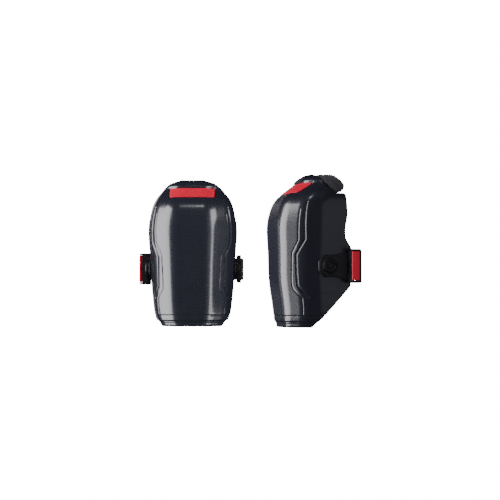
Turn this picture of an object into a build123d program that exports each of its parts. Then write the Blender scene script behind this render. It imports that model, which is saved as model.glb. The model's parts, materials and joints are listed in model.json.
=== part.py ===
"""A pair of hard-shell knee pads: a right-knee pad facing forward and its mirrored left-knee pad.

Each pad is modelled in its own frame: X across the knee, Y from the front of the shell towards the
leg, Z up from the bottom rim. The pair is then placed on one floor, +Z up, in millimetres.
"""
from build123d import *
from functools import cache
import os

# ---- Shell -------------------------------------------------------------------------------------
# Height, front face, half width and lean from the vertical of each level of the moulded cap.
LEVELS = [
    (0.0, 16.5, 51.0, 0.0),
    (12.0, 12.8, 60.5, 0.0),
    (30.0, 9.0, 66.0, 0.0),
    (70.0, 3.4, 69.2, 0.0),
    (130.0, 1.0, 73.0, 0.0),
    (165.0, 0.0, 75.0, 0.0),
    (190.0, 5.0, 71.0, 15.0),
    (205.0, 12.0, 67.5, 30.0),
    (218.0, 27.0, 61.0, 48.0),
    (231.0, 45.0, 52.0, 60.0),
    (241.0, 55.0, 42.0, 68.0),
    (248.0, 66.0, 20.0, 82.0),
]
WIDEST = 75.0
FLAT_HALF = 34.0         # half width of the flat front face, at the widest level
FACET_OUT = 66.0         # where the slanted facet beside it ends
FACET_DEPTH = 28.0
SIDE_DEPTH = 60.0        # where the side wall becomes parallel to Y
CORNER_RADII = (20.0, 22.0, 45.0)
CAP_BACK = 150.0         # the caps run past the trimmed rear edge
SHELL_WALL = 3.0
LAYER_GAP = 0.3

# Rear outline of the shell's side walls, seen along X, as (Y, Z) and the radius of each corner.
SIDE_OUTLINE = [
    ((46.0, -3.0), 0.0),
    ((107.5, 66.0), 7.0),
    ((107.5, 127.0), 9.0),
    ((96.5, 143.0), 14.0),
    ((96.5, 160.0), 20.0),
    ((101.5, 182.0), 40.0),
    ((101.5, 215.5), 5.0),
]
RIM_FOOT = 80.0          # where the shell's slanted top rim starts on that level
RIM_STEP = 16.0          # how far forward it leans over RIM_RISE
RIM_RISE = 22.5
OUTLINE_TOP = 262.0
OUTLINE_FRONT = -20.0

# ---- Padding -----------------------------------------------------------------------------------
FOAM_SIDE = 12.0
FOAM_FRONT = 22.0
LINER_SIDE = 17.0
LINER_FRONT = 28.0
GEL_FRONT = 14.0
GEL_WIDTH = 80.0
GEL_HEIGHT = 130.0
GEL_CENTRE_Z = 125.0
LAYER_SETBACK = 2.5      # the padding stops short of the shell's rear edge
FOAM_RIM = 8.0           # how far behind the shell's rim each top band ends
LINER_RIM = 13.0
CUSHION_INSET = 0.8
CUSHION_DEPTH = 24.0
PADDING_FOOT = 1.2       # the padding stays clear of the floor

# ---- Badge -------------------------------------------------------------------------------------
BADGE_WIDTH = 76.0
BADGE_LENGTH = 24.0
BADGE_CENTRE = (34.5, 226.0)
BADGE_SLOPE = 42.0
BADGE_THICK = 1.2
BADGE_PROUD = 0.3
BADGE_CORNER = 3.0

# ---- Strap pivots, given for the side towards +X -----------------------------------------------
PIVOT_Y = 68.5
PIVOT_Z = 98.0
BASE_RADIUS = 19.0
SEAT_X = 69.0
BASE_TOP = 73.6
SEAT_PAD_X = 66.0
SHAFT_R = 3.95
BORE_R = 4.0
WASHER_R = 11.0
RIVET_HEAD_R = 7.0
RING_R = 12.0
ARM_IN = 74.4
ARM_PLATE = 3.0
ARM_DISC_R = 17.0
CAP_R = 12.5
CAP_TOP = 80.5

# ---- Strap arm frames and buckle ---------------------------------------------------------------
FRAME_Y = 108.7
FRAME_DEPTH = 18.6
OUTER_FRAME = (54.0, 46.0, 88.6)     # height, slot height and how far out the frame stands
INNER_FRAME = (48.0, 40.0, 82.4)
SLOT_DEPTH = 10.0
LEVER_Y = FRAME_Y - 2.4
LEVER_DEPTH = 12.4
LEVER_HEIGHT = 45.4
LEVER_IN = OUTER_FRAME[2] + 0.5
LEVER_TOP = LEVER_IN + 4.1
LEVER_PIN_Y = LEVER_Y - 4.0
LEVER_PIN_X = LEVER_IN + 2.1
LEVER_PIN_R = 1.2
BARREL_R = 2.1
NOSE_REACH = 2.3
LUG_DEPTH = 5.0
LUG_THICK = 3.6
SPRING_GAP = 10.0
WIRE_R = 0.3
SPRING_R = 1.6
SPRING_TURNS = 8

# ---- Strap -------------------------------------------------------------------------------------
STRAP_WIDTH = 38.0
STRAP_THICK = 2.4
STRAP_BEND = (70.5, FRAME_Y + 8.4)
STRAP_STRAIGHT_X = 73.8  # inside this the webbing turns rearwards, clear of the wing
STRAP_BOW_Y = FRAME_Y + 26.0
STRAP_END_X = 28.0       # where the folded-back end stops
HOOK_IN = 74.6
HOOK_OUT = OUTER_FRAME[2] - 0.6

# ---- The pair: where each pad stands before the pair is centred ---------------------------------
RIGHT_PLACE = (0.0, 0.0)
LEFT_PLACE = (134.5, -47.0)
LEFT_TURN = -71.5


def sine(angle):
    return Vector(1, 0, 0).rotate(Axis.Z, angle).Y


def cosine(angle):
    return Vector(1, 0, 0).rotate(Axis.Z, angle).X


@cache
def cap_solid(side_inset, front_inset):
    """The solid inside the moulded cap, drawn in from its outer surface."""
    with BuildPart() as cap:
        for height, front, half, lean in LEVELS:
            scale = half / WIDEST
            wide = half - side_inset * cosine(lean)
            face = front + front_inset * cosine(lean)
            level = height - min(side_inset, front_inset) * sine(lean)
            narrow = wide / WIDEST
            corners = [
                (-wide, CAP_BACK),
                (-wide, face + SIDE_DEPTH * scale),
                (-FACET_OUT * narrow, face + FACET_DEPTH * scale),
                (-FLAT_HALF * narrow, face),
                (FLAT_HALF * narrow, face),
                (FACET_OUT * narrow, face + FACET_DEPTH * scale),
                (wide, face + SIDE_DEPTH * scale),
                (wide, CAP_BACK),
            ]
            front_r, facet_r, side_r = [radius * narrow for radius in CORNER_RADII]
            radii = [0, side_r, facet_r, front_r, front_r, facet_r, side_r, 0]
            with BuildSketch(Plane.XY.offset(level)):
                with BuildLine():
                    FilletPolyline(*corners, radius=radii, close=True)
                make_face()
        loft()
    return cap.part


def side_cut(setback, rim_shift):
    """A prism along X that keeps what lies in front of the rear edge and under the top rim."""
    points = [(y - setback, z) for (y, z), radius in SIDE_OUTLINE]
    radii = [max(radius - setback, 0) for point, radius in SIDE_OUTLINE]
    rim_y = RIM_FOOT + rim_shift
    rim_z = SIDE_OUTLINE[-1][0][1]
    steep = RIM_STEP / RIM_RISE * 0.3
    points += [
        (rim_y, rim_z),
        (rim_y - RIM_STEP, rim_z + RIM_RISE),
        (rim_y - RIM_STEP - steep * (OUTLINE_TOP - rim_z - RIM_RISE), OUTLINE_TOP),
        (OUTLINE_FRONT, OUTLINE_TOP),
        (OUTLINE_FRONT, SIDE_OUTLINE[0][0][1]),
    ]
    radii += [4.0, 6.0, 0, 0, 0]
    with BuildPart() as cut:
        with BuildSketch(Plane.YZ):
            with BuildLine():
                FilletPolyline(*points, radius=radii, close=True)
            make_face()
        extrude(amount=WIDEST * 1.5, both=True)
    return cut.part


def pivot_prism(sides, radius, start, end):
    """A round or many-sided plug on the pivot's line, on both sides of the pad."""
    with BuildPart() as plug:
        with BuildSketch(Plane.YZ.offset(start)):
            with Locations((PIVOT_Y, PIVOT_Z)):
                if sides:
                    RegularPolygon(radius, sides, rotation=180 / sides)
                else:
                    Circle(radius)
        extrude(amount=end - start)
        mirror(about=Plane.YZ)
    return plug.part


def badge_prism(growth):
    """The badge's outline, driven square through the sloping front of the cap."""
    centre = Vector(0, BADGE_CENTRE[0], BADGE_CENTRE[1])
    normal = Vector(0, -sine(BADGE_SLOPE), cosine(BADGE_SLOPE))
    with BuildPart() as prism:
        with BuildSketch(Plane(origin=centre, x_dir=(1, 0, 0), z_dir=normal)):
            RectangleRounded(BADGE_WIDTH + 2 * growth, BADGE_LENGTH + 2 * growth, BADGE_CORNER)
        extrude(amount=FOAM_SIDE, both=True)
    return prism.part


def shell():
    with BuildPart() as piece:
        add(cap_solid(0, 0))
        add(cap_solid(SHELL_WALL, SHELL_WALL), mode=Mode.SUBTRACT)
        add(pivot_prism(8, BASE_RADIUS + 2, SEAT_PAD_X, SEAT_X + 0.6))
        add(side_cut(0, 0), mode=Mode.INTERSECT)
        add(pivot_prism(8, BASE_RADIUS + 0.2, SEAT_X, WIDEST), mode=Mode.SUBTRACT)
        add(pivot_prism(0, SHAFT_R + 0.1, SEAT_PAD_X - 1, SEAT_X + 1), mode=Mode.SUBTRACT)
        add(badge_pocket(), mode=Mode.SUBTRACT)
    return piece.part


def badge_pocket():
    with BuildPart() as pocket:
        add(badge_prism(0.15))
        add(cap_solid(BADGE_THICK + 0.1, BADGE_THICK + 0.1), mode=Mode.SUBTRACT)
    return pocket.part


def badge():
    with BuildPart() as piece:
        add(cap_solid(-BADGE_PROUD, -BADGE_PROUD))
        add(cap_solid(BADGE_THICK, BADGE_THICK), mode=Mode.SUBTRACT)
        add(badge_prism(0), mode=Mode.INTERSECT)
    return piece.part


def gel_block(growth):
    with BuildPart() as block:
        with Locations((0, CAP_BACK / 2, GEL_CENTRE_Z)):
            Box(GEL_WIDTH + 2 * growth, CAP_BACK, GEL_HEIGHT + 2 * growth)
    return block.part


def foam_core():
    with BuildPart() as pocket:
        add(cap_solid(SHELL_WALL, GEL_FRONT))
        add(gel_block(LAYER_GAP), mode=Mode.INTERSECT)
    with BuildPart() as piece:
        add(cap_solid(SHELL_WALL + LAYER_GAP, SHELL_WALL + LAYER_GAP))
        add(cap_solid(FOAM_SIDE, FOAM_FRONT), mode=Mode.SUBTRACT)
        add(side_cut(LAYER_SETBACK, FOAM_RIM), mode=Mode.INTERSECT)
        add(pivot_prism(8, BASE_RADIUS + 3, SEAT_PAD_X - 3.7, WIDEST), mode=Mode.SUBTRACT)
        add(pocket.part, mode=Mode.SUBTRACT)
        split(bisect_by=Plane.XY.offset(PADDING_FOOT), keep=Keep.TOP)
    return piece.part


def gel_insert():
    with BuildPart() as piece:
        add(cap_solid(SHELL_WALL, GEL_FRONT + LAYER_GAP))
        add(cap_solid(FOAM_SIDE, FOAM_FRONT), mode=Mode.SUBTRACT)
        add(gel_block(0), mode=Mode.INTERSECT)
    return piece.part


def comfort_liner():
    with BuildPart() as piece:
        add(cap_solid(FOAM_SIDE + LAYER_GAP, FOAM_FRONT + LAYER_GAP))
        add(cap_solid(LINER_SIDE, LINER_FRONT), mode=Mode.SUBTRACT)
        add(side_cut(LAYER_SETBACK, LINER_RIM), mode=Mode.INTERSECT)
        split(bisect_by=Plane.XY.offset(PADDING_FOOT), keep=Keep.TOP)
    return piece.part


def upper_cushion():
    """The roll across the top of the opening, behind the liner's edge."""
    rim_y = RIM_FOOT + LINER_RIM + LAYER_GAP
    rim_z = SIDE_OUTLINE[-1][0][1] + LAYER_GAP
    back = SIDE_OUTLINE[-1][0][0] - 1.0
    with BuildPart() as band:
        with BuildSketch(Plane.YZ):
            with BuildLine():
                FilletPolyline(
                    (rim_y, rim_z),
                    (back, rim_z),
                    (back - 1.5, rim_z + 17.0),
                    (back - 12.0, rim_z + 33.0),
                    (rim_y - RIM_STEP - 6.0, rim_z + 40.0),
                    (rim_y - RIM_STEP, rim_z + RIM_RISE),
                    radius=[0, 2, 10, 8, 0, 4],
                    close=True,
                )
            make_face()
        extrude(amount=WIDEST, both=True)
    with BuildPart() as piece:
        add(cap_solid(CUSHION_INSET, CUSHION_INSET))
        add(cap_solid(CUSHION_DEPTH, CUSHION_DEPTH), mode=Mode.SUBTRACT)
        add(band.part, mode=Mode.INTERSECT)
    return piece.part


def plug(radius, start, end, bore=0.0, sides=0, bore_end=None):
    """One turned or many-sided piece on the pivot's line, on the side towards +X."""
    with BuildPart() as piece:
        with BuildSketch(Plane.YZ.offset(start)):
            with Locations((PIVOT_Y, PIVOT_Z)):
                if sides:
                    RegularPolygon(radius, sides, rotation=180 / sides)
                else:
                    Circle(radius)
        extrude(amount=end - start)
        top = piece.faces().sort_by(Axis.X)[-1]
        chamfer(top.edges(), min(0.8, (end - start) / 3))
        if bore:
            with BuildSketch(Plane.YZ.offset(start)):
                with Locations((PIVOT_Y, PIVOT_Z)):
                    Circle(bore)
            extrude(amount=(bore_end or end) - start, mode=Mode.SUBTRACT)
    return piece.part


def pivot_base():
    return plug(BASE_RADIUS, SEAT_X + 0.05, BASE_TOP, bore=SHAFT_R + 0.1, sides=8)


def backing_washer():
    return plug(WASHER_R, SEAT_PAD_X - 1.7, SEAT_PAD_X - 0.1, bore=SHAFT_R + 0.1)


def friction_ring():
    return plug(RING_R, BASE_TOP + 0.1, ARM_IN - 0.1, bore=SHAFT_R + 0.3)


def pivot_cap():
    return plug(CAP_R, ARM_IN + ARM_PLATE + 0.1, CAP_TOP, bore=SHAFT_R + 0.02, bore_end=CAP_TOP - 0.9)


def rivet():
    head = SEAT_PAD_X - 1.8
    with BuildPart() as piece:
        with BuildSketch(Plane.YZ.offset(head)):
            with Locations((PIVOT_Y, PIVOT_Z)):
                Circle(SHAFT_R)
        extrude(amount=CAP_TOP - 1.0 - head)
        with BuildSketch(Plane.YZ.offset(head)):
            with Locations((PIVOT_Y, PIVOT_Z)):
                Circle(RIVET_HEAD_R)
        extrude(amount=-1.4)
    return piece.part


def arm_body(frame, lugs):
    """The swivelling arm: a disc, a flared plate and the frame that the strap passes through."""
    height, slot_height, top = frame
    with BuildPart() as piece:
        with BuildSketch(Plane.YZ.offset(ARM_IN)):
            with BuildLine():
                near = PIVOT_Y + ARM_DISC_R * 0.35
                far = FRAME_Y - FRAME_DEPTH / 2 + 2
                Polyline(
                    (near, PIVOT_Z - ARM_DISC_R * 0.93),
                    (far, PIVOT_Z - height / 2 + 4),
                    (far, PIVOT_Z + height / 2 - 4),
                    (near, PIVOT_Z + ARM_DISC_R * 0.93),
                    close=True,
                )
            make_face()
            with Locations((PIVOT_Y, PIVOT_Z)):
                Circle(ARM_DISC_R)
        extrude(amount=ARM_PLATE)
        with BuildSketch(Plane.YZ.offset(ARM_IN)):
            with Locations((FRAME_Y, PIVOT_Z)):
                RectangleRounded(FRAME_DEPTH, height, 3)
        extrude(amount=top - ARM_IN)
        if lugs:
            spread = LEVER_HEIGHT / 2 + 0.3 + LUG_THICK / 2
            with BuildSketch(Plane.YZ.offset(top)):
                with Locations((LEVER_PIN_Y, PIVOT_Z - spread), (LEVER_PIN_Y, PIVOT_Z + spread)):
                    Rectangle(LUG_DEPTH, LUG_THICK)
            extrude(amount=LEVER_TOP - top)
            with BuildSketch(Plane.XY.offset(PIVOT_Z)):
                with Locations((LEVER_PIN_X, LEVER_PIN_Y)):
                    Circle(LEVER_PIN_R + 0.02)
            extrude(amount=height, both=True, mode=Mode.SUBTRACT)
        with BuildSketch(Plane.YZ.offset(ARM_IN)):
            with Locations((FRAME_Y + 0.2, PIVOT_Z)):
                RectangleRounded(SLOT_DEPTH, slot_height, 1.5)
        extrude(amount=top - ARM_IN, mode=Mode.SUBTRACT)
        with BuildSketch(Plane.YZ.offset(ARM_IN)):
            with Locations((PIVOT_Y, PIVOT_Z)):
                Circle(BORE_R)
        extrude(amount=ARM_PLATE, mode=Mode.SUBTRACT)
    return piece.part


def release_lever():
    half = LEVER_HEIGHT / 2
    with BuildPart() as piece:
        with BuildSketch(Plane.YZ.offset(LEVER_IN)):
            with Locations((LEVER_Y + 1.0, PIVOT_Z)):
                RectangleRounded(LEVER_DEPTH - 2.0, LEVER_HEIGHT, 1.5)
        extrude(amount=LEVER_TOP - LEVER_IN)
        chamfer(piece.faces().sort_by(Axis.X)[-1].edges(), 1.0)
        with BuildSketch(Plane.XY.offset(PIVOT_Z - half)):
            with Locations((LEVER_PIN_X, LEVER_PIN_Y)):
                Circle(BARREL_R)
        extrude(amount=LEVER_HEIGHT)
        with Locations((LEVER_PIN_X, LEVER_PIN_Y, PIVOT_Z)):
            Box(3 * BARREL_R, 2 * BARREL_R + 0.8, SPRING_GAP, mode=Mode.SUBTRACT)
        with Locations((LEVER_IN - NOSE_REACH / 2 + 0.1, LEVER_Y + 4.4, PIVOT_Z)):
            Box(NOSE_REACH + 0.2, 2.6, 20.0)
        with BuildSketch(Plane.XY.offset(PIVOT_Z - half)):
            with Locations((LEVER_PIN_X, LEVER_PIN_Y)):
                Circle(LEVER_PIN_R + 0.06)
        extrude(amount=LEVER_HEIGHT, mode=Mode.SUBTRACT)
    return piece.part


def lever_pin():
    half = LEVER_HEIGHT / 2 + LUG_THICK
    with BuildPart() as piece:
        with BuildSketch(Plane.XY.offset(PIVOT_Z - half)):
            with Locations((LEVER_PIN_X, LEVER_PIN_Y)):
                Circle(LEVER_PIN_R)
        extrude(amount=2 * half)
    return piece.part


def lever_spring():
    """A torsion spring's close coils, as one ring for each turn around the pin."""
    pitch = (SPRING_GAP - 1.0) / SPRING_TURNS
    with BuildPart() as piece:
        for turn in range(SPRING_TURNS):
            level = PIVOT_Z + (turn - (SPRING_TURNS - 1) / 2) * pitch
            with Locations((LEVER_PIN_X, LEVER_PIN_Y, level)):
                Torus(SPRING_R, WIRE_R)
    return piece.part


def strap_hook():
    """The tongue on the strap's end, with the notch that the lever's nose drops into."""
    with BuildPart() as piece:
        with Locations(((HOOK_IN + HOOK_OUT) / 2, FRAME_Y + 0.1, PIVOT_Z)):
            Box(HOOK_OUT - HOOK_IN, SLOT_DEPTH - 1.4, STRAP_WIDTH - 4)
        fillet(piece.edges().filter_by(Axis.X), 1.2)
        with Locations((HOOK_OUT, LEVER_Y + 5.4, PIVOT_Z)):
            Box(2 * NOSE_REACH, 6.4, 21.0, mode=Mode.SUBTRACT)
    return piece.part


def strap_plies():
    """The Y of the webbing in front of the frame's rear bar and behind it, and the bow's radius."""
    front_ply = FRAME_Y + 0.2 + SLOT_DEPTH / 2 - STRAP_THICK / 2 - LAYER_GAP
    back_ply = FRAME_Y + FRAME_DEPTH / 2 + STRAP_THICK / 2 + LAYER_GAP
    rise = STRAP_BOW_Y - STRAP_BEND[1]
    bow_radius = (STRAP_BEND[0] ** 2 + rise ** 2) / (2 * rise)
    return front_ply, back_ply, bow_radius


def strap():
    """Elastic webbing from the hook, behind the knee, and round the far frame's bar."""
    bend_x, bend_y = STRAP_BEND
    front_ply, back_ply, bow_radius = strap_plies()
    fold_x = INNER_FRAME[2] + 0.2
    fold_r = (back_ply - front_ply) / 2
    with BuildPart() as piece:
        with BuildSketch(Plane.XY.offset(PIVOT_Z - STRAP_WIDTH / 2)):
            with BuildLine():
                Line((-HOOK_IN + 0.1, front_ply), (-STRAP_STRAIGHT_X, front_ply))
                Line((-STRAP_STRAIGHT_X, front_ply), (-bend_x, bend_y))
                ThreePointArc((-bend_x, bend_y), (0, STRAP_BOW_Y), (bend_x, bend_y))
                Line((bend_x, bend_y), (STRAP_STRAIGHT_X, front_ply))
                Line((STRAP_STRAIGHT_X, front_ply), (fold_x, front_ply))
                ThreePointArc(
                    (fold_x, front_ply),
                    (fold_x + fold_r, (front_ply + back_ply) / 2),
                    (fold_x, back_ply),
                )
                Line((fold_x, back_ply), (STRAP_STRAIGHT_X, back_ply))
            trace(line_width=STRAP_THICK)
        extrude(amount=STRAP_WIDTH)
    return piece.part


def strap_tab():
    """The hook-and-loop end, folded back onto the strap's rear face."""
    front_ply, back_ply, bow_radius = strap_plies()
    radius = bow_radius + STRAP_THICK + LAYER_GAP
    centre_y = STRAP_BOW_Y - bow_radius
    start_x = STRAP_BEND[0] - 0.5
    stations = [start_x, (start_x + STRAP_END_X) / 2, STRAP_END_X]
    arc = [(x, centre_y + (radius ** 2 - x ** 2) ** 0.5) for x in stations]
    with BuildPart() as piece:
        with BuildSketch(Plane.XY.offset(PIVOT_Z - STRAP_WIDTH / 2)):
            with BuildLine():
                Line((STRAP_STRAIGHT_X - 0.1, back_ply), arc[0])
                ThreePointArc(*arc)
            trace(line_width=STRAP_THICK)
        extrude(amount=STRAP_WIDTH)
    return piece.part


def place(part, mirrored, left):
    moved = mirror(part, about=Plane.YZ) if mirrored else part
    where = LEFT_PLACE if left else RIGHT_PLACE
    turn = LEFT_TURN if left else 0
    return Location((where[0], where[1], 0), (0, 0, turn)) * moved


def one_pad(side, centred, pivots, buckle, webbing, plain_arm):
    """Every piece of one pad, in its place; the buckle is on the side away from the other knee."""
    left = side == "left"
    pieces = {}
    for name, part in centred.items():
        pieces[name] = place(part, left, left)
    for name, part in pivots.items():
        pieces["outer_" + name] = place(part, not left, left)
        pieces["inner_" + name] = place(part, left, left)
    for name, part in buckle.items():
        pieces[name] = place(part, not left, left)
    for name, part in webbing.items():
        pieces[name] = place(part, left, left)
    pieces["inner_arm"] = place(plain_arm, left, left)
    return {side + "_" + name: part for name, part in pieces.items()}


def main():
    centred = {
        "shell": shell(),
        "badge": badge(),
        "foam_core": foam_core(),
        "gel_insert": gel_insert(),
        "comfort_liner": comfort_liner(),
        "upper_cushion": upper_cushion(),
    }
    pivots = {
        "pivot_base": pivot_base(),
        "backing_washer": backing_washer(),
        "friction_ring": friction_ring(),
        "pivot_cap": pivot_cap(),
        "rivet": rivet(),
    }
    buckle = {
        "outer_arm": arm_body(OUTER_FRAME, lugs=True),
        "release_lever": release_lever(),
        "lever_pin": lever_pin(),
        "lever_spring": lever_spring(),
        "strap_hook": strap_hook(),
    }
    webbing = {"strap": strap(), "strap_tab": strap_tab()}
    plain_arm = arm_body(INNER_FRAME, lugs=False)
    pieces = {}
    for side in ("right", "left"):
        pieces.update(one_pad(side, centred, pivots, buckle, webbing, plain_arm))

    boxes = [part.bounding_box() for part in pieces.values()]
    middle_x = (min(box.min.X for box in boxes) + max(box.max.X for box in boxes)) / 2
    middle_y = (min(box.min.Y for box in boxes) + max(box.max.Y for box in boxes)) / 2
    print("pair centred by", round(middle_x, 3), round(middle_y, 3))
    os.makedirs("parts", exist_ok=True)
    for name, part in pieces.items():
        part = Pos(-middle_x, -middle_y, 0) * part
        part.label = name
        export_step(part, "parts/" + name + ".step")


main()
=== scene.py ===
"""The looks of a pair of hard-shell knee pads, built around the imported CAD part."""
import bpy
import bmesh
import json
import math
import numpy as np
from mathutils import Matrix, Vector


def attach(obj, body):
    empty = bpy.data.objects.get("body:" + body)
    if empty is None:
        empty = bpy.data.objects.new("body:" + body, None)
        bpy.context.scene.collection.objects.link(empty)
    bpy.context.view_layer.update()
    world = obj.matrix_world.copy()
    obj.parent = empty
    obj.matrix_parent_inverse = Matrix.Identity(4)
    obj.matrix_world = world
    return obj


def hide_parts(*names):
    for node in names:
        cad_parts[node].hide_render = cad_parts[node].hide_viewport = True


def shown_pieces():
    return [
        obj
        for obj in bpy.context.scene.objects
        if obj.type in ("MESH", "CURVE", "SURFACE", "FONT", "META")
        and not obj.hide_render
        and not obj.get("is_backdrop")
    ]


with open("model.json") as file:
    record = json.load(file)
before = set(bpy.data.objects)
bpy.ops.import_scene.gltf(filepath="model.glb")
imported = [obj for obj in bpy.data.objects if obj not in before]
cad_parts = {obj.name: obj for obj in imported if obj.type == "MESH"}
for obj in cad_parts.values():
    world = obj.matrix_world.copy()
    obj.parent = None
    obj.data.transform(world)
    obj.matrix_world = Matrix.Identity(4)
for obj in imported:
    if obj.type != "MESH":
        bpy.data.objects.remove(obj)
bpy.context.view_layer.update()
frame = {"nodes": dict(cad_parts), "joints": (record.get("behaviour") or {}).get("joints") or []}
MM = 0.001

# ---- The moulded cap: height, front face and half width of each level, in millimetres -----------
LEVELS = np.array([
    (0.0, 12.6, 54.5),
    (12.0, 10.8, 61.5),
    (30.0, 9.0, 66.0),
    (70.0, 3.4, 69.2),
    (130.0, 1.0, 73.0),
    (165.0, 0.0, 75.0),
    (190.0, 5.0, 71.0),
    (205.0, 12.0, 67.5),
    (218.0, 25.0, 62.0),
    (231.0, 42.0, 54.5),
    (241.0, 53.0, 47.0),
    (248.0, 64.5, 30.0),
])
CROWN_ROW = 6
CROWN_WIDER = 0.9
FACE_FORWARD = 1.2
LEVELS[CROWN_ROW:, 2] += CROWN_WIDER
LEVELS[:, 1] -= FACE_FORWARD
WIDEST = 75.0
TOP = 247.0
WALL = 3.0
SECTION = [(0, 0), (34, 0), (66, 28), (75, 60), (75, 260)]
SECTION_RADII = [0, 38, 40, 60, 0]
OUTLINE = [(46, -3), (107.5, 66), (107.5, 127), (96.5, 143), (96.5, 160), (101.5, 182),
           (101.5, 215.5)]
OUTLINE_RADII = [0, 7, 9, 14, 20, 40, 0]
LEDGE_Z = 215.5
LEDGE_RADIUS = 5.0
WALL_START = 20
PIVOT = (68.5, 98.0)
FRAME_Y = 108.7
LEVER_TOP = 93.2
LEVER_HALF = 22.7
STRAP_WIDTH = 38.0
STRAP_THICK = 2.0
CAD_STRAP_THICK = 2.4
STRAP_CLEARANCE = 0.3

# ---- Brightness of the backdrop as the camera sees it, and of the room's light on the pads -------
FLOOR_GLOW = 16.0
WORLD_LIGHT = 0.75


# ---- Small geometry helpers ---------------------------------------------------------------------
def rounded(points, radii, step=0.6):
    """Points along a line whose corners are arcs."""
    points = np.array(points, float)
    out = [points[0]]
    for i in range(1, len(points) - 1):
        p, a, b = points[i], points[i - 1] - points[i], points[i + 1] - points[i]
        a, b = a / np.linalg.norm(a), b / np.linalg.norm(b)
        angle = math.acos(np.clip(a @ b, -1, 1))
        radius = radii[i]
        if radius <= 0 or math.pi - angle < 1e-3:
            out.append(p)
            continue
        middle = (a + b) / np.linalg.norm(a + b)
        centre = p + middle * radius / math.sin(angle / 2)
        start = p + a * radius / math.tan(angle / 2) - centre
        end = p + b * radius / math.tan(angle / 2) - centre
        first = math.atan2(start[1], start[0])
        turn = math.atan2(end[1], end[0]) - first
        turn = (turn + math.pi) % (2 * math.pi) - math.pi
        n = max(4, int(abs(turn) * radius / step))
        for k in range(n + 1):
            t = first + turn * k / n
            out.append(centre + radius * np.array((math.cos(t), math.sin(t))))
    out.append(points[-1])
    return np.array(out)


def spline(knots, values, x):
    """A natural cubic spline through the knots."""
    n = len(knots)
    h = np.diff(knots)
    a = np.zeros((n, n))
    r = np.zeros(n)
    a[0, 0] = a[-1, -1] = 1
    for i in range(1, n - 1):
        a[i, i - 1:i + 2] = h[i - 1], 2 * (h[i - 1] + h[i]), h[i]
        r[i] = 6 * ((values[i + 1] - values[i]) / h[i] - (values[i] - values[i - 1]) / h[i - 1])
    m = np.linalg.solve(a, r)
    i = np.clip(np.searchsorted(knots, x) - 1, 0, n - 2)
    u, v = knots[i + 1] - x, x - knots[i]
    return ((m[i] * u ** 3 + m[i + 1] * v ** 3) / (6 * h[i])
            + (values[i] / h[i] - m[i] * h[i] / 6) * u
            + (values[i + 1] / h[i] - m[i + 1] * h[i] / 6) * v)


def smooth(x, low, high):
    """An eased step from 0 at low to 1 at high."""
    t = np.clip((x - low) / (high - low), 0, 1)
    return t * t * (3 - 2 * t)


def line_distance(s, z, points):
    """Distance from each (s, z) to a line through the points."""
    best = np.full(s.shape, 1e9)
    points = np.array(points, float)
    for a, b in zip(points[:-1], points[1:]):
        d = b - a
        t = np.clip(((s - a[0]) * d[0] + (z - a[1]) * d[1]) / (d @ d), 0, 1)
        best = np.minimum(best, np.hypot(s - a[0] - t * d[0], z - a[1] - t * d[1]))
    return best


UNIT = rounded(SECTION, SECTION_RADII)
UNIT_S = np.concatenate([[0], np.cumsum(np.linalg.norm(np.diff(UNIT, axis=0), axis=1))])
REAR = rounded(OUTLINE, OUTLINE_RADII)


def cap_point(s, z):
    """X and Y of the cap's surface at arc length s of the unit section, at height z."""
    half = spline(LEVELS[:, 0], LEVELS[:, 2], z)
    front = spline(LEVELS[:, 0], LEVELS[:, 1], z)
    k = half / WIDEST
    return k * np.interp(s, UNIT_S, UNIT[:, 0]), front + k * np.interp(s, UNIT_S, UNIT[:, 1])


def rear_s(z):
    """Arc length at which the side wall ends at height z."""
    half = spline(LEVELS[:, 0], LEVELS[:, 2], z)
    front = spline(LEVELS[:, 0], LEVELS[:, 1], z)
    corner = np.clip(z - (LEDGE_Z - LEDGE_RADIUS), 0, LEDGE_RADIUS)
    cut = LEDGE_RADIUS - np.sqrt(LEDGE_RADIUS ** 2 - corner ** 2)
    y = np.interp(z, REAR[:, 1], REAR[:, 0]) - cut
    return np.interp((y - front) / (half / WIDEST), UNIT[WALL_START:, 1], UNIT_S[WALL_START:])


def rim_height(y):
    """Height at which the cap's opening starts, at depth y."""
    return np.interp(y, [0, 63.5, 66.5, 81.0, 200], [TOP, TOP, 238.5, LEDGE_Z, LEDGE_Z])


# ---- Placing pieces -----------------------------------------------------------------------------
def pad_matrix(side):
    """A pad's own frame: x across, y backwards from its face, z up, read from its arm's pivot."""
    joint = next(j for j in frame["joints"] if j["name"] == side + "_inner_arm_swivel")
    across = Vector(joint["axis"])
    up = Vector((0, 0, 1))
    back = up.cross(across)
    turn = Matrix((across, back, up)).transposed()
    origin = Vector(joint["pos_m"]) - turn @ Vector((0, PIVOT[0], PIVOT[1])) * MM
    made = turn.to_4x4()
    made.translation = origin
    return made


PADS = {side: pad_matrix(side) for side in ("right", "left")}
OUTER = {"right": -1, "left": 1}


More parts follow.
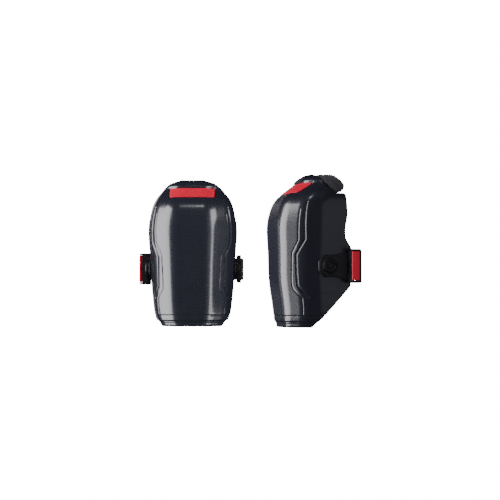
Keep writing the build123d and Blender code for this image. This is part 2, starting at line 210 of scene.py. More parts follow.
def build(name, verts, faces, side, flip=False, sharp=40, uvs=None):
    """An object from points in the pad's own frame, in millimetres; flip mirrors it."""
    verts = np.array(verts, float).reshape(-1, 3).copy()
    if flip:
        verts[:, 0] *= -1
    m = np.array(PADS[side], float)
    world = verts * MM @ m[:3, :3].T + m[:3, 3]
    mesh = bpy.data.meshes.new(name)
    mesh.from_pydata(world.tolist(), [], [tuple(int(i) for i in f) for f in faces])
    if uvs is not None:
        layer = mesh.uv_layers.new(name="UVMap")
        loops = np.zeros(len(mesh.loops), int)
        mesh.loops.foreach_get("vertex_index", loops)
        layer.data.foreach_set("uv", np.array(uvs, np.float32)[loops].ravel())
    mesh.validate()
    bm = bmesh.new()
    bm.from_mesh(mesh)
    bmesh.ops.recalc_face_normals(bm, faces=bm.faces)
    bm.to_mesh(mesh)
    bm.free()
    mesh.shade_smooth()
    mesh.set_sharp_from_angle(angle=math.radians(sharp))
    o = bpy.data.objects.new(name, mesh)
    bpy.context.scene.collection.objects.link(o)
    return o


def finish_piece(o, side, body, stands_for, slot):
    """Puts a piece on its body, in place of its CAD nodes, with its material."""
    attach(o, side + "_" + body)
    if stands_for:
        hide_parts(*[side + "_" + n for n in stands_for])
    o.data.materials.clear()
    o.data.materials.append(MATERIALS[slot])
    return o


def grid_faces(rows, cols, offset=0, wrap=False):
    i, j = np.meshgrid(np.arange(rows - 1), np.arange(cols if wrap else cols - 1), indexing="ij")
    a = offset + i * cols + j
    b = offset + i * cols + (j + 1) % cols
    return np.stack([a, b, b + cols, a + cols], -1).reshape(-1, 4).tolist()


def closed_pair(outer, inner):
    """Points and faces of a closed wall between two grids of the same size."""
    rows, cols = outer.shape[:2]
    points = np.concatenate([outer.reshape(-1, 3), inner.reshape(-1, 3)])
    shift = rows * cols
    faces = grid_faces(rows, cols) + [f[::-1] for f in grid_faces(rows, cols, shift)]
    edge = [(0, j) for j in range(cols)] + [(i, cols - 1) for i in range(1, rows)]
    edge += [(rows - 1, j) for j in range(cols - 2, -1, -1)]
    edge += [(i, 0) for i in range(rows - 2, 0, -1)]
    ids = [i * cols + j for i, j in edge]
    for a, b in zip(ids, ids[1:] + ids[:1]):
        faces.append((b, a, a + shift, b + shift))
    return points, faces


def normals_of(grid):
    n = np.cross(np.gradient(grid, axis=1), np.gradient(grid, axis=0))
    return n / np.maximum(np.linalg.norm(n, axis=2, keepdims=True), 1e-9)


def edge_run(grid, axis, from_end):
    """Distance of each grid point from one of the grid's edges, along the grid's lines."""
    step = np.linalg.norm(np.diff(grid, axis=axis), axis=2)
    zero = np.zeros_like(np.take(step, [0], axis=axis))
    if from_end:
        run = np.concatenate([zero, np.cumsum(np.flip(step, axis), axis=axis)], axis=axis)
        return np.flip(run, axis)
    return np.concatenate([zero, np.cumsum(step, axis=axis)], axis=axis)


def round_off(d, radius):
    """How far the surface falls away at distance d from an edge of that radius."""
    t = np.clip(1 - d / radius, 0, 1)
    return radius * (1 - np.sqrt(np.maximum(1 - t * t, 0)))


# ---- Materials ----------------------------------------------------------------------------------
MATERIALS = {}


def surface(name, colour, roughness, metallic=0.0, coat=0.0, tone=0.12, grain=400.0, wear=0.06,
            bump=0.05, depth=0.0002, pattern="noise", sheen=0.0, specular=0.5):
    """A node material with a fine grain, uneven gloss and a slight change of tone; webbing and knit also
    get painted shade in the grooves of their weave.
    """
    m = bpy.data.materials.new(name)
    m.use_nodes = True
    nodes, links = m.node_tree.nodes, m.node_tree.links
    shader = nodes["Principled BSDF"]
    shader.inputs["Metallic"].default_value = metallic
    shader.inputs["Coat Weight"].default_value = coat
    shader.inputs["Coat Roughness"].default_value = 0.12
    shader.inputs["Sheen Weight"].default_value = sheen
    shader.inputs["Specular IOR Level"].default_value = specular
    place = nodes.new("ShaderNodeTexCoord")
    source = place.outputs["UV"] if pattern == "webbing" else place.outputs["Object"]
    broad = nodes.new("ShaderNodeTexNoise")
    broad.inputs["Scale"].default_value = 22.0
    broad.inputs["Detail"].default_value = 4.0
    links.new(place.outputs["Object"], broad.inputs["Vector"])
    fine = nodes.new("ShaderNodeTexNoise")
    fine.inputs["Scale"].default_value = grain
    fine.inputs["Detail"].default_value = 3.0
    links.new(place.outputs["Object"], fine.inputs["Vector"])
    tint = nodes.new("ShaderNodeMixRGB")
    tint.blend_type = "MULTIPLY"
    tint.inputs["Color1"].default_value = (*colour, 1)
    ramp = nodes.new("ShaderNodeMapRange")
    ramp.inputs["To Min"].default_value = 1 - tone
    ramp.inputs["To Max"].default_value = 1 + tone
    links.new(broad.outputs["Fac"], ramp.inputs["Value"])
    tint.inputs["Fac"].default_value = 1.0
    links.new(ramp.outputs["Result"], tint.inputs["Color2"])
    links.new(tint.outputs["Color"], shader.inputs["Base Color"])
    gloss = nodes.new("ShaderNodeMapRange")
    gloss.inputs["To Min"].default_value = max(roughness - wear, 0.02)
    gloss.inputs["To Max"].default_value = roughness + wear
    links.new(broad.outputs["Fac"], gloss.inputs["Value"])
    links.new(gloss.outputs["Result"], shader.inputs["Roughness"])
    height = fine.outputs["Fac"]
    if pattern in ("webbing", "knit"):
        waves = []
        for direction in "XY" if pattern == "webbing" else "XZ":
            w = nodes.new("ShaderNodeTexWave")
            w.bands_direction = direction
            w.inputs["Scale"].default_value = grain
            w.inputs["Distortion"].default_value = 0.6 if pattern == "knit" else 0.15
            w.inputs["Detail"].default_value = 1.0
            links.new(source, w.inputs["Vector"])
            waves.append(w)
        both = nodes.new("ShaderNodeMath")
        both.operation = "MULTIPLY" if pattern == "webbing" else "ADD"
        links.new(waves[0].outputs["Fac"], both.inputs[0])
        links.new(waves[1].outputs["Fac"], both.inputs[1])
        # Painted shade: the colour is darkened where the weave's height is low, so the grooves between
        # threads look shaded.
        weave_painted_shade = nodes.new("ShaderNodeMixRGB")
        weave_painted_shade.blend_type = "MULTIPLY"
        weave_painted_shade.inputs["Fac"].default_value = 0.55
        links.new(tint.outputs["Color"], weave_painted_shade.inputs["Color1"])
        links.new(both.outputs["Value"], weave_painted_shade.inputs["Color2"])
        links.new(weave_painted_shade.outputs["Color"], shader.inputs["Base Color"])
        mixed = nodes.new("ShaderNodeMath")
        mixed.operation = "MULTIPLY_ADD"
        mixed.inputs[1].default_value = 0.35
        links.new(fine.outputs["Fac"], mixed.inputs[0])
        links.new(both.outputs["Value"], mixed.inputs[2])
        height = mixed.outputs["Value"]
    if pattern == "brushed":
        stretch = nodes.new("ShaderNodeMapping")
        stretch.inputs["Scale"].default_value = (1.0, 1.0, 30.0)
        links.new(place.outputs["Object"], stretch.inputs["Vector"])
        links.new(stretch.outputs["Vector"], fine.inputs["Vector"])
    if pattern == "cells":
        cells = nodes.new("ShaderNodeTexVoronoi")
        cells.inputs["Scale"].default_value = grain
        links.new(place.outputs["Object"], cells.inputs["Vector"])
        height = cells.outputs["Distance"]
    relief = nodes.new("ShaderNodeBump")
    relief.inputs["Strength"].default_value = bump
    relief.inputs["Distance"].default_value = depth
    links.new(height, relief.inputs["Height"])
    links.new(relief.outputs["Normal"], shader.inputs["Normal"])
    MATERIALS[name] = m
    return m


surface("shell", (0.0105, 0.0115, 0.0175), 0.27, coat=0.45, grain=900, bump=0.02, wear=0.03, tone=0.08)
surface("badge", (0.44, 0.003, 0.022), 0.42, grain=700, bump=0.04, wear=0.05, specular=0.25)
surface("foam", (0.022, 0.022, 0.026), 0.85, grain=1500, bump=0.5, depth=0.0003, pattern="cells",
        specular=0.2)
surface("gel", (0.05, 0.07, 0.11), 0.35, grain=300, bump=0.1)
surface("liner", (0.030, 0.031, 0.036), 0.82, grain=420, bump=0.5, depth=0.0003, pattern="knit",
        sheen=0.25, specular=0.2)
surface("cushion_fabric", (0.026, 0.025, 0.031), 0.40, grain=900, bump=0.22, depth=0.0002,
        sheen=0.1, specular=0.4)
surface("hardware", (0.0055, 0.0055, 0.007), 0.33, grain=1400, bump=0.18, wear=0.06, specular=0.4)
surface("red_plastic", (0.44, 0.003, 0.020), 0.42, grain=1200, bump=0.10, wear=0.06, specular=0.25)
surface("steel", (0.52, 0.53, 0.55), 0.28, metallic=1.0, grain=500, bump=0.12, wear=0.08,
        pattern="brushed")
surface("friction_ring", (0.62, 0.61, 0.56), 0.45, grain=800, bump=0.08)
surface("webbing", (0.022, 0.022, 0.026), 0.75, grain=260, bump=0.8, depth=0.0004,
        pattern="webbing", sheen=0.2, specular=0.2)


# ---- Shell --------------------------------------------------------------------------------------
def shell_grid():
    """Half-row arc lengths and heights of the cap's surface, solved so the last row is the rim."""
    fixed = np.concatenate([np.arange(0, 50, 2.0), np.arange(50, 85, 0.8)])
    spread = np.concatenate([np.linspace(0, 0.96, 34), [0.975, 0.986, 0.994, 1.0]])
    rows = np.concatenate([[0, 0.35, 0.8], np.arange(1.4, 24, 0.75), np.arange(24, 182, 1.2),
                           np.arange(182, 245.5, 1.0), [245.8, 246.3, 246.7, TOP]])
    cols = len(fixed) + len(spread)
    zt = np.repeat(rows[:, None], cols, 1)
    bend = smooth(zt, 150, TOP)

    def arc(z):
        end = rear_s(z)
        out = np.zeros_like(z)
        out[:, :len(fixed)] = fixed
        out[:, len(fixed):] = fixed[-1] + 0.8 + spread * (end[:, len(fixed):] - fixed[-1] - 0.8)
        return out

    low, high = zt - 34, zt.copy()
    for step in range(34):
        mid = (low + high) / 2
        x, y = cap_point(arc(mid), mid)
        over = mid + bend * (TOP - rim_height(y)) > zt
        high = np.where(over, mid, high)
        low = np.where(over, low, mid)
    z = (low + high) / 2
    z[bend == 0] = zt[bend == 0]
    return arc(z), z


THIN = [(67.8, 188), (67.8, 139), (56.1, 119), (55, 68), (57.4, 60), (71.8, 47), (72.5, 21)]
THICK = [(77, 200), (79, 140), (63.3, 116), (65.9, 66), (83, 48)]


def relief(s, y, z, x):
    """How far the surface stands out from the plain cap, for its grooves, ridges, hood and badge bed."""
    thin = np.clip(1 - line_distance(s, z, THIN) / 1.3, 0, 1)
    thick = np.clip(1 - line_distance(s, z, THICK) / 2.4, 0, 1)
    out = -0.7 * thin ** 2 * (3 - 2 * thin) - 1.6 * thick ** 2 * (3 - 2 * thick)
    panel = smooth(y, 45, 51) * smooth(-z, -182, -176) * smooth(z, 52, 60) * smooth(s, 80, 86)
    out += 0.4 * panel
    out -= 1.0 * np.clip(1 - np.abs(z - 18.5) / 1.6, 0, 1)
    out -= 1.9 * smooth(-z, -10.2, -8.8)
    out -= 0.6 * np.clip(1 - np.abs(z - 5.0) / 0.9, 0, 1)
    hood = smooth(z, 233.5, 235.1) * smooth(-np.abs(x), -50, -35)
    out += 2.4 * hood
    bed = smooth(-np.abs(x), -39.2, -38.2) * smooth(z, 216.0, 216.8) * smooth(-z, -234.2, -233.4)
    out -= 1.3 * bed * (1 - hood)
    return out


def shell_surface():
    s, z = shell_grid()
    x, y = cap_point(s, z)
    left = np.stack([-x[:, :0:-1], y[:, :0:-1], z[:, :0:-1]], -1)
    base = np.concatenate([left, np.stack([x, y, z], -1)], 1)
    full_s = np.concatenate([s[:, :0:-1], s], 1)
    n = normals_of(base)
    if n[40, n.shape[1] // 2, 1] > 0:
        n = -n
    for k in range(3):
        n[:, k], n[:, -1 - k] = n[:, 3], n[:, -4]
    n[:3], n[-4:] = n[3], n[-5]
    rise = relief(full_s, base[..., 1], base[..., 2], base[..., 0])
    side_run = np.minimum(edge_run(base, 1, True), edge_run(base, 1, False))
    top_run = edge_run(base, 0, True)
    foot_run = edge_run(base, 0, False)
    fall = [round_off(side_run, 1.3), round_off(top_run, 2.4), round_off(foot_run, 1.0)]
    outer = base + n * (rise - fall[0] - fall[1] - fall[2])[..., None]
    inner = base - n * (WALL - np.minimum(0, rise + 1.2))[..., None]
    inner[..., 2] = np.maximum(inner[..., 2], 0)
    outer[..., 2] = np.maximum(outer[..., 2], 0)
    inner[0, :, 2] = 0
    outer[0, :, 2] = 0
    return outer, inner


def add_shells():
    outer, inner = shell_surface()
    points, faces = closed_pair(outer, inner)
    for side in PADS:
        o = build(side + "_shell_moulding", points, faces, side, sharp=60)
        finish_piece(o, side, "pad", ["shell"], "shell")


# ---- Badge --------------------------------------------------------------------------------------
def add_badges():
    half, corner = 38.0, 3.0
    rows = np.concatenate([[216.7, 216.9, 217.4, 218.2, 219.2], np.linspace(220.2, 229.6, 12),
                           [230.6, 231.6, 232.4, 232.9, 233.1]])
    u = np.concatenate([[-1, -0.996, -0.985], np.linspace(-0.965, 0.965, 60), [0.985, 0.996, 1]])
    z = np.repeat(rows[:, None], len(u), 1)
    depth = np.maximum(0, corner - np.minimum(z - rows[0], rows[-1] - z) * 1.45)
    reach = half - (corner - np.sqrt(np.maximum(corner ** 2 - depth ** 2, 0)))
    x = u[None, :] * reach
    k = spline(LEVELS[:, 0], LEVELS[:, 2], z) / WIDEST
    s = np.interp(np.abs(x) / k, UNIT[:, 0], UNIT_S)
    px, py = cap_point(s, z)
    grid = np.stack([np.sign(x) * px, py, z], -1)
    n = normals_of(grid)
    if n[5, 30, 1] > 0:
        n = -n
    edge = np.minimum(np.minimum(edge_run(grid, 1, True), edge_run(grid, 1, False)),
                      np.minimum(edge_run(grid, 0, True), edge_run(grid, 0, False)))
    top = grid + n * (0.35 - round_off(edge, 0.6))[..., None]
    under = grid - n * 1.1
    points, faces = closed_pair(top, under)
    for side in PADS:
        o = build(side + "_badge_plate", points, faces, side, sharp=50)
        finish_piece(o, side, "pad", ["badge"], "badge")


# ---- Soft pieces --------------------------------------------------------------------------------
CLOTH_FRAMES = 20


def cad_copy(node, name):
    """A separate object with the CAD node's mesh, its doubled points joined."""
    source = frame["nodes"][node]
    mesh = source.data.copy()
    mesh.name = name
    o = bpy.data.objects.new(name, mesh)
    bpy.context.scene.collection.objects.link(o)
    bm = bmesh.new()
    bm.from_mesh(mesh)
    bmesh.ops.remove_doubles(bm, verts=bm.verts, dist=2e-6)
    bm.to_mesh(mesh)
    bm.free()
    return o


def apply_modifiers(o):
    dg = bpy.context.evaluated_depsgraph_get()
    mesh = bpy.data.meshes.new_from_object(o.evaluated_get(dg))
    o.modifiers.clear()
    o.data = mesh


def coords(mesh):
    co = np.zeros(len(mesh.vertices) * 3)
    mesh.vertices.foreach_get("co", co)
    return co.reshape(-1, 3)


def mesh_normals(mesh):
    n = np.zeros(len(mesh.vertices) * 3)
    mesh.vertex_normals.foreach_get("vector", n)
    return n.reshape(-1, 3)


def remeshed(o, voxel, rounds):
    """Remeshes an object in even voxels and smooths it."""
    m = o.modifiers.new("remesh", "REMESH")
    m.mode = "VOXEL"
    m.voxel_size = voxel * MM
    m.use_smooth_shade = True
    s = o.modifiers.new("smooth", "SMOOTH")
    s.factor = 0.5
    s.iterations = rounds
    apply_modifiers(o)


def inflate(o, pressure, cap_mm):
    """Puffs a closed mesh with cloth simulation, keeping each point within cap_mm of where it began."""
    rest = coords(o.data)
    cloth = o.modifiers.new("cloth", "CLOTH")
    st = cloth.settings
    st.quality = 4
    st.mass = 0.25
    st.tension_stiffness = 18
    st.compression_stiffness = 12
    st.shear_stiffness = 6
    st.bending_stiffness = 2.5
    st.use_pressure = True
    st.uniform_pressure_force = pressure
    st.effector_weights.gravity = 0
    cloth.collision_settings.use_collision = False
    cloth.point_cache.frame_start = 1
    cloth.point_cache.frame_end = CLOTH_FRAMES
    scene = bpy.context.scene
    for f in range(1, CLOTH_FRAMES + 1):
        scene.frame_set(f)
    apply_modifiers(o)
    scene.frame_set(1)
    moved = coords(o.data) - rest
    size = np.linalg.norm(moved, axis=1, keepdims=True)
    moved *= np.minimum(1, cap_mm * MM / np.maximum(size, 1e-9))
    o.data.vertices.foreach_set("co", (rest + moved).ravel())
    o.data.update()


def to_pad(side, world):
    """Points in a pad's own frame, in millimetres."""
    m = np.array(PADS[side].inverted(), float)
    return (world @ m[:3, :3].T + m[:3, 3]) / MM


def padded_master(node, voxel, rounds, pressure, cap_mm, seams, seam_depth):
    """The right pad's puffed and stitched piece, as points in the pad's frame and faces."""
    o = cad_copy("right_" + node, "master_" + node)
    remeshed(o, voxel, rounds)
    inflate(o, pressure, cap_mm)
    sub = o.modifiers.new("sub", "SUBSURF")
    sub.levels = 1
    sub.render_levels = 1
    apply_modifiers(o)
    world = coords(o.data)
    local = to_pad("right", world)
    if node == "upper_cushion":
        local = fill_to_rim(local)
    turn = np.array(PADS["right"], float)[:3, :3]
    local = local - mesh_normals(o.data) @ turn * (seams(local) * seam_depth)[:, None]
    faces = [tuple(p.vertices) for p in o.data.polygons]
    bpy.data.objects.remove(o)
    return local, faces


def liner_seams(p):
    """Stitched channels on the face towards the knee."""
    x, y, z = p[:, 0], p[:, 1], p[:, 2]
    d = np.full(len(p), 1e9)
    for height in (48, 88, 128, 168, 204):
        d = np.minimum(d, np.abs(z - height + 0.0016 * x ** 2))
    d = np.minimum(d, np.abs(np.abs(x) - 17))
    return np.exp(-(d / 1.8) ** 2)


def behind_rim(p):
    """How far each point lies behind the slanted line of the shell's top rim."""
    return p[:, 1] + (p[:, 2] - LEDGE_Z) * 16 / 22.5 - 80


def fill_to_rim(p):
    """Draws the roll's front out to the shell's rim, so that the band reads as one padded edge."""
    share = np.clip((behind_rim(p) - 12.0) / 16.0, 0, 1)
    p[:, 1] += 4.5 * smooth(behind_rim(p), 15, 30) - 10.5 * (1 - share)
    p[:, 0] *= 1.035
    p[:, 2] += 0.8 * smooth(p[:, 2], 225, 245)
    return p


def cushion_seams(p):
    """Two stitched lines that run along the roll, beside its front band."""
    behind = behind_rim(p)
    return np.exp(-((behind - 8.0) / 1.0) ** 2) + np.exp(-((behind - 21.0) / 1.3) ** 2)


def add_soft():
    # node, piece, voxel, smoothing, pressure, swell limit, seams, their depth, material, fill
    jobs = (
        ("foam_core", "foam_edge", 2.4, 4, 0, 0, None, 0, "foam", 0.9),
        ("comfort_liner", "quilted_liner", 2.2, 5, 4.0, 1.3, liner_seams, 1.1, "liner", 0.6),
        ("upper_cushion", "top_roll", 2.6, 6, 4.0, 2.4, cushion_seams, 1.3, "cushion_fabric", 0.75),
    )
    for node, name, voxel, rounds, pressure, cap_mm, seams, depth, slot, fill in jobs:
        if pressure:
            local, faces = padded_master(node, voxel, rounds, pressure, cap_mm, seams, depth)
        else:
            o = cad_copy("right_" + node, "master_" + node)
            remeshed(o, voxel, rounds)
            local = to_pad("right", coords(o.data))
            faces = [tuple(p.vertices) for p in o.data.polygons]
            bpy.data.objects.remove(o)
        for side in PADS:
            piece = build(side + "_" + name, local, faces, side, sharp=180)
            finish_piece(piece, side, "pad", [node], slot)
    for side in PADS:
        node = frame["nodes"][side + "_gel_insert"]
        node.data.materials.clear()
        node.data.materials.append(MATERIALS["gel"])


# ---- Hard pieces --------------------------------------------------------------------------------
SHARP_ANGLE = 35


def bevelled(node, name, side, body, slot, width, segments=2):
    """A piece shaped from the CAD node, with its sharp edges rounded."""
    o = cad_copy(node, name)
    bm = bmesh.new()
    bm.from_mesh(o.data)
    bmesh.ops.dissolve_limit(bm, angle_limit=math.radians(2), verts=bm.verts, edges=bm.edges)
    limit = math.radians(SHARP_ANGLE)
    sharp = [e for e in bm.edges if len(e.link_faces) == 2 and e.calc_face_angle(0) > limit]
    bmesh.ops.bevel(bm, geom=sharp, offset=width * MM, segments=segments, profile=0.5,
                    affect="EDGES", clamp_overlap=True)
    bmesh.ops.recalc_face_normals(bm, faces=bm.faces)
    bm.to_mesh(o.data)
    bm.free()
    o.data.shade_smooth()
    o.data.set_sharp_from_angle(angle=limit)
    finish_piece(o, side, body, [], slot)
    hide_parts(node)
    return o


def lathe(profile, count=72):
    """A turned piece on the pivot's line, from (radius, x) pairs, as points and faces."""
    profile = np.array(profile, float)
    t = np.arange(count) * 2 * math.pi / count
    r, x = profile[:, 0:1], profile[:, 1:2]
    pts = np.stack([x + 0 * t, PIVOT[0] + r * np.cos(t), PIVOT[1] + r * np.sin(t)], -1)
    faces = grid_faces(len(profile), count, wrap=True)
    points = pts.reshape(-1, 3)
    faces.append(tuple(range(count))[::-1])
    last = (len(profile) - 1) * count
    faces.append(tuple(range(last, last + count)))
    return points, faces


CAP_PROFILE = [(3.97, 77.5), (12.1, 77.5), (12.45, 77.7), (12.5, 78.3), (12.35, 78.9), (11.9, 79.3),
               (10.9, 79.45), (10.5, 79.6), (10.2, 80.1), (9.8, 80.45), (9.2, 80.6), (8.3, 80.6),
               (7.7, 80.45), (7.4, 80.0), (7.2, 79.5), (6.7, 79.35), (5.2, 79.4), (4.9, 79.5),
               (4.6, 79.9), (4.2, 80.15), (3.0, 80.3), (0.6, 80.35)]


def pillow_box(x0, x1, y0, y1, z0, z1, radius, crown, n=(7, 24)):
    """A plate standing on x0 whose outer face is crowned and whose edges are rounded."""
    u = np.concatenate([[0, 0.012, 0.035, 0.07], np.linspace(0.11, 0.89, n[0]), [0.93, 0.965, 0.988, 1]])
    v = np.concatenate([[0, 0.006, 0.015, 0.03], np.linspace(0.05, 0.95, n[1]), [0.97, 0.985, 0.994, 1]])
    yy, zz = np.meshgrid(y0 + u * (y1 - y0), z0 + v * (z1 - z0), indexing="ij")
    d = np.minimum(np.minimum(yy - y0, y1 - yy), np.minimum(zz - z0, z1 - zz))
    bulge = crown * (1 - ((yy - (y0 + y1) / 2) / ((y1 - y0) / 2)) ** 2)
    top = x1 - round_off(d, radius) - crown + bulge
    outer = np.stack([top, yy, zz], -1)
    inner = np.stack([np.full_like(yy, x0), yy, zz], -1)
    return closed_pair(outer, inner)


def add_hardware():
    for side in PADS:
        out = OUTER[side]
        for where in ("outer", "inner"):
            sign = out if where == "outer" else -out
            flip = sign < 0
            pre = side + "_" + where + "_"
            bevelled(pre + "pivot_base", pre + "octagon_base", side, "pad", "hardware", 0.9, 3)
            points, faces = lathe(CAP_PROFILE)
            cap = build(pre + "ringed_cap", points, faces, side, flip=flip, sharp=50)
            finish_piece(cap, side, "pad", [where + "_pivot_cap"], "hardware")
            for node, slot in (("backing_washer", "steel"), ("rivet", "steel"),
                               ("friction_ring", "friction_ring")):
                bevelled(pre + node, pre + node + "_turned", side, "pad", slot, 0.25)
            arm = side + "_" + where + "_arm"
            bevelled(arm, arm + "_frame", side, where + "_arm", "hardware", 0.8, 3)
        bevelled(side + "_lever_pin", side + "_lever_pin_turned", side, "outer_arm", "steel", 0.2)
        spring = frame["nodes"][side + "_lever_spring"]
        spring.data.materials.clear()
        spring.data.materials.append(MATERIALS["steel"])
        bevelled(side + "_strap_hook", side + "_hook_tongue", side, "inner_arm", "hardware", 0.7, 3)
        bevelled(side + "_release_lever", side + "_lever_body", side, "release_lever", "red_plastic", 0.5)
        points, faces = pillow_box(LEVER_TOP - 1.3, LEVER_TOP + 1.2, 99.7, 112.6,
                                   PIVOT[1] - LEVER_HALF, PIVOT[1] + LEVER_HALF, 1.4, crown=0.5)
        plate = build(side + "_lever_face", points, faces, side, flip=out < 0, sharp=50)
        finish_piece(plate, side, "release_lever", [], "red_plastic")


# ---- Strap --------------------------------------------------------------------------------------
def arc_points(start, middle, end, n):
    """Points on the arc through three points."""
    (ax, ay), (bx, by), (cx, cy) = start, middle, end
    d = 2 * (ax * (by - cy) + bx * (cy - ay) + cx * (ay - by))
    a2, b2, c2 = ax ** 2 + ay ** 2, bx ** 2 + by ** 2, cx ** 2 + cy ** 2
    ux = (a2 * (by - cy) + b2 * (cy - ay) + c2 * (ay - by)) / d
    uy = (a2 * (cx - bx) + b2 * (ax - cx) + c2 * (bx - ax)) / d
    r = math.hypot(ax - ux, ay - uy)
    t0 = math.atan2(ay - uy, ax - ux)
    tm = math.atan2(by - uy, bx - ux)
    t1 = math.atan2(cy - uy, cx - ux)
    sweep = (t1 - t0) % (2 * math.pi)
    if (tm - t0) % (2 * math.pi) > sweep:
        sweep -= 2 * math.pi
    turns = [t0 + sweep * i / n for i in range(n + 1)]
    return [(ux + r * math.cos(t), uy + r * math.sin(t)) for t in turns]


def resample(path, step):
    """The path in even steps, and its length."""
    path = np.array(path, float)
    keep = np.concatenate([[True], np.linalg.norm(np.diff(path, axis=0), axis=1) > 1e-6])
    path = path[keep]
    s = np.concatenate([[0], np.cumsum(np.linalg.norm(np.diff(path, axis=0), axis=1))])
    t = np.linspace(0, s[-1], int(s[-1] / step) + 1)
    return np.stack([np.interp(t, s, path[:, 0]), np.interp(t, s, path[:, 1])], 1), s[-1]


def band(path, width, thick, step=1.6):
    """A flat webbing band along a path seen from above: points, faces, UVs and its length."""
    line, length = resample(path, step)
    for r in range(3):
        line[1:-1] = (line[:-2] + 2 * line[1:-1] + line[2:]) / 4
    tangent = np.gradient(line, axis=0)
    tangent /= np.linalg.norm(tangent, axis=1, keepdims=True)
    side = np.stack([tangent[:, 1], -tangent[:, 0]], 1)
    v = np.concatenate([[-1, -0.985, -0.95], np.linspace(-0.9, 0.9, 17), [0.95, 0.985, 1]])
    edge = np.array([0.45, 0.8, 1.0] + [1.0] * 17 + [1.0, 0.8, 0.45])
    ring_v = np.concatenate([v, v[::-1]])
    ring_h = np.concatenate([edge, -edge[::-1]]) * thick / 2
    pts = np.zeros((len(line), len(ring_v), 3))
    pts[..., 0] = line[:, 0:1] + side[:, 0:1] * ring_h
    pts[..., 1] = line[:, 1:2] + side[:, 1:2] * ring_h
    pts[..., 2] = PIVOT[1] + ring_v * width / 2
    count = len(ring_v)
    faces = grid_faces(len(line), count, wrap=True)
    faces.append(tuple(range(count))[::-1])
    faces.append(tuple(range((len(line) - 1) * count, len(line) * count)))
    along = np.linspace(0, length, len(line)) * MM
    across = ring_v * width / 2 * MM
    uvs = np.stack([np.repeat(across[None], len(line), 0), np.repeat(along[:, None], count, 1)], -1)
    return pts.reshape(-1, 3), faces, uvs.reshape(-1, 2), length


def add_straps():
    gap = CAD_STRAP_THICK / 2 + STRAP_CLEARANCE
    front = FRAME_Y + 0.2 + 5 - gap
    back = FRAME_Y + 9.3 + gap
    bend = (70.5, FRAME_Y + 8.4)
    bow = FRAME_Y + 26.0
    fold = 82.6
    radius = (back - front) / 2
    path = [(-74.5, front), (-73.8, front), (-bend[0], bend[1])]
    path += arc_points((-bend[0], bend[1]), (0, bow), bend, 60)[1:]
    path += [(73.8, front), (fold, front)]
    path += arc_points((fold, front), (fold + radius, (front + back) / 2), (fold, back), 14)[1:]
    path += [(73.8, back)]
    rise = bow - bend[1]
    bow_r = (bend[0] ** 2 + rise ** 2) / (2 * rise) + CAD_STRAP_THICK + STRAP_CLEARANCE
    centre = bow - (bend[0] ** 2 + rise ** 2) / (2 * rise)
    tab = [(73.7, back)]
    for x in np.linspace(70.0, 28.0, 30):
        tab.append((x, centre + math.sqrt(bow_r ** 2 - x ** 2)))
    for side in PADS:
        flip = OUTER[side] > 0
        held_by = [side + "_hook_tongue", side + "_inner_arm_frame"]
        for name, line, node, rests in (("webbing", path, "strap", held_by),
                                        ("webbing_end", tab, "strap_tab", [side + "_webbing"])):
            points, faces, uvs, length = band(line, STRAP_WIDTH, STRAP_THICK)
            o = build(side + "_" + name, points, faces, side, flip=flip, uvs=uvs, sharp=50)
            finish_piece(o, side, "inner_arm", [node], "webbing")


# ---- Set: floor, light and camera ---------------------------------------------------------------
def add_stage():
    """A bright backdrop that only the camera sees, curved up behind the pads."""
    profile = [(-4.0, 0.0), (2.2, 0.0)]
    profile += [(2.2 + 1.2 * math.sin(t), 1.2 - 1.2 * math.cos(t))
                for t in np.linspace(0.08, math.pi / 2, 20)]
    profile += [(3.4, 4.0)]
    verts, faces = [], []
    for y, z in profile:
        verts += [(-5.0, y, z), (5.0, y, z)]
    for i in range(len(profile) - 1):
        faces.append((2 * i, 2 * i + 1, 2 * i + 3, 2 * i + 2))
    mesh = bpy.data.meshes.new("backdrop")
    mesh.from_pydata(verts, [], faces)
    mesh.shade_smooth()
    o = bpy.data.objects.new("backdrop", mesh)
    bpy.context.scene.collection.objects.link(o)
    m = bpy.data.materials.new("backdrop")
    m.use_nodes = True
    shader = m.node_tree.nodes["Principled BSDF"]
    shader.inputs["Base Color"].default_value = (0.92, 0.92, 0.92, 1)
    shader.inputs["Roughness"].default_value = 0.9
    shader.inputs["Specular IOR Level"].default_value = 0.1
    shader.inputs["Emission Color"].default_value = (1, 1, 1, 1)
    shader.inputs["Emission Strength"].default_value = FLOOR_GLOW
    o.data.materials.append(m)
    o.visible_glossy = False
    o.visible_diffuse = False
    o.visible_shadow = False
    o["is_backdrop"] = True
    world = bpy.data.worlds.new("studio")
    world.use_nodes = True
    ground = world.node_tree.nodes["Background"]
    ground.inputs["Color"].default_value = (1, 1, 1, 1)
    path = world.node_tree.nodes.new("ShaderNodeLightPath")
    level = world.node_tree.nodes.new("ShaderNodeMapRange")
    level.inputs["To Min"].default_value = WORLD_LIGHT
    level.inputs["To Max"].default_value = FLOOR_GLOW
    world.node_tree.links.new(path.outputs["Is Camera Ray"], level.inputs["Value"])
    world.node_tree.links.new(level.outputs["Result"], ground.inputs["Strength"])
    world.cycles_visibility.glossy = False
    bpy.context.scene.world = world


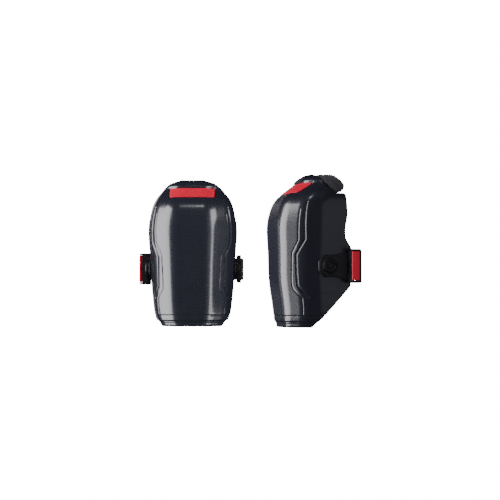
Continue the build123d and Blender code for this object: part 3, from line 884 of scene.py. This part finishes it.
def softbox(name, azimuth, distance, size, height, power, colour=(1, 1, 1)):
    """An area light facing the pads. Azimuth 0 is in front of the pads and 90 is to their right."""
    light = bpy.data.lights.new(name, "AREA")
    light.shape = "RECTANGLE"
    light.size, light.size_y = size
    light.energy = power
    light.color = colour
    o = bpy.data.objects.new(name, light)
    a = math.radians(azimuth)
    target = PADS["right"] @ Vector((0.06, 0.06, 0.11))
    spot = Vector((target.x + distance * math.sin(a), target.y - distance * math.cos(a), height))
    o.location = spot
    aim = Vector((target.x, target.y, height)) - spot
    o.rotation_mode = "QUATERNION"
    o.rotation_quaternion = aim.to_track_quat("-Z", "Y")
    o.visible_camera = False
    bpy.context.scene.collection.objects.link(o)
    return o


def add_lights():
    softbox("key_left", -77, 1.5, (1.10, 2.2), 0.45, 72, (0.98, 0.97, 1.0))
    fill = softbox("fill_right", 60, 1.6, (1.05, 2.2), 0.45, 58, (0.98, 0.97, 1.0))
    near = bpy.data.collections.new("right_pad_pieces")
    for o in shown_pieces():
        if o.name.startswith("right_"):
            near.objects.link(o)
    fill.light_linking.receiver_collection = near
    fill.light_linking.blocker_collection = near
    softbox("wall_sheen", 38, 2.2, (1.3, 2.4), 0.5, 3.6, (0.86, 0.88, 1.0))
    softbox("edge_left", -166, 2.2, (1.0, 1.2), 0.3, 6, (0.98, 0.96, 1.0))
    top = softbox("overhead", -3, 0.8, (0.15, 0.2), 1.5, 1.2)
    aim = PADS["right"] @ Vector((-0.004, 0.0, 0.18)) - top.location
    top.rotation_quaternion = aim.to_track_quat("-Z", "Y")


def add_camera():
    cam = bpy.data.cameras.new("camera")
    cam.sensor_width = 36.0
    cam.lens = 93.2
    cam.clip_end = 60
    o = bpy.data.objects.new("camera", cam)
    origin = PADS["right"].translation
    o.location = (origin.x + 0.09775, origin.y + 0.060 - 2.2, 0.045)
    o.rotation_euler = (math.radians(90 + 2.19), 0, 0)
    bpy.context.scene.collection.objects.link(o)
    bpy.context.scene.camera = o


add_shells()
add_badges()
add_soft()
add_hardware()
add_straps()
add_stage()
add_lights()
add_camera()
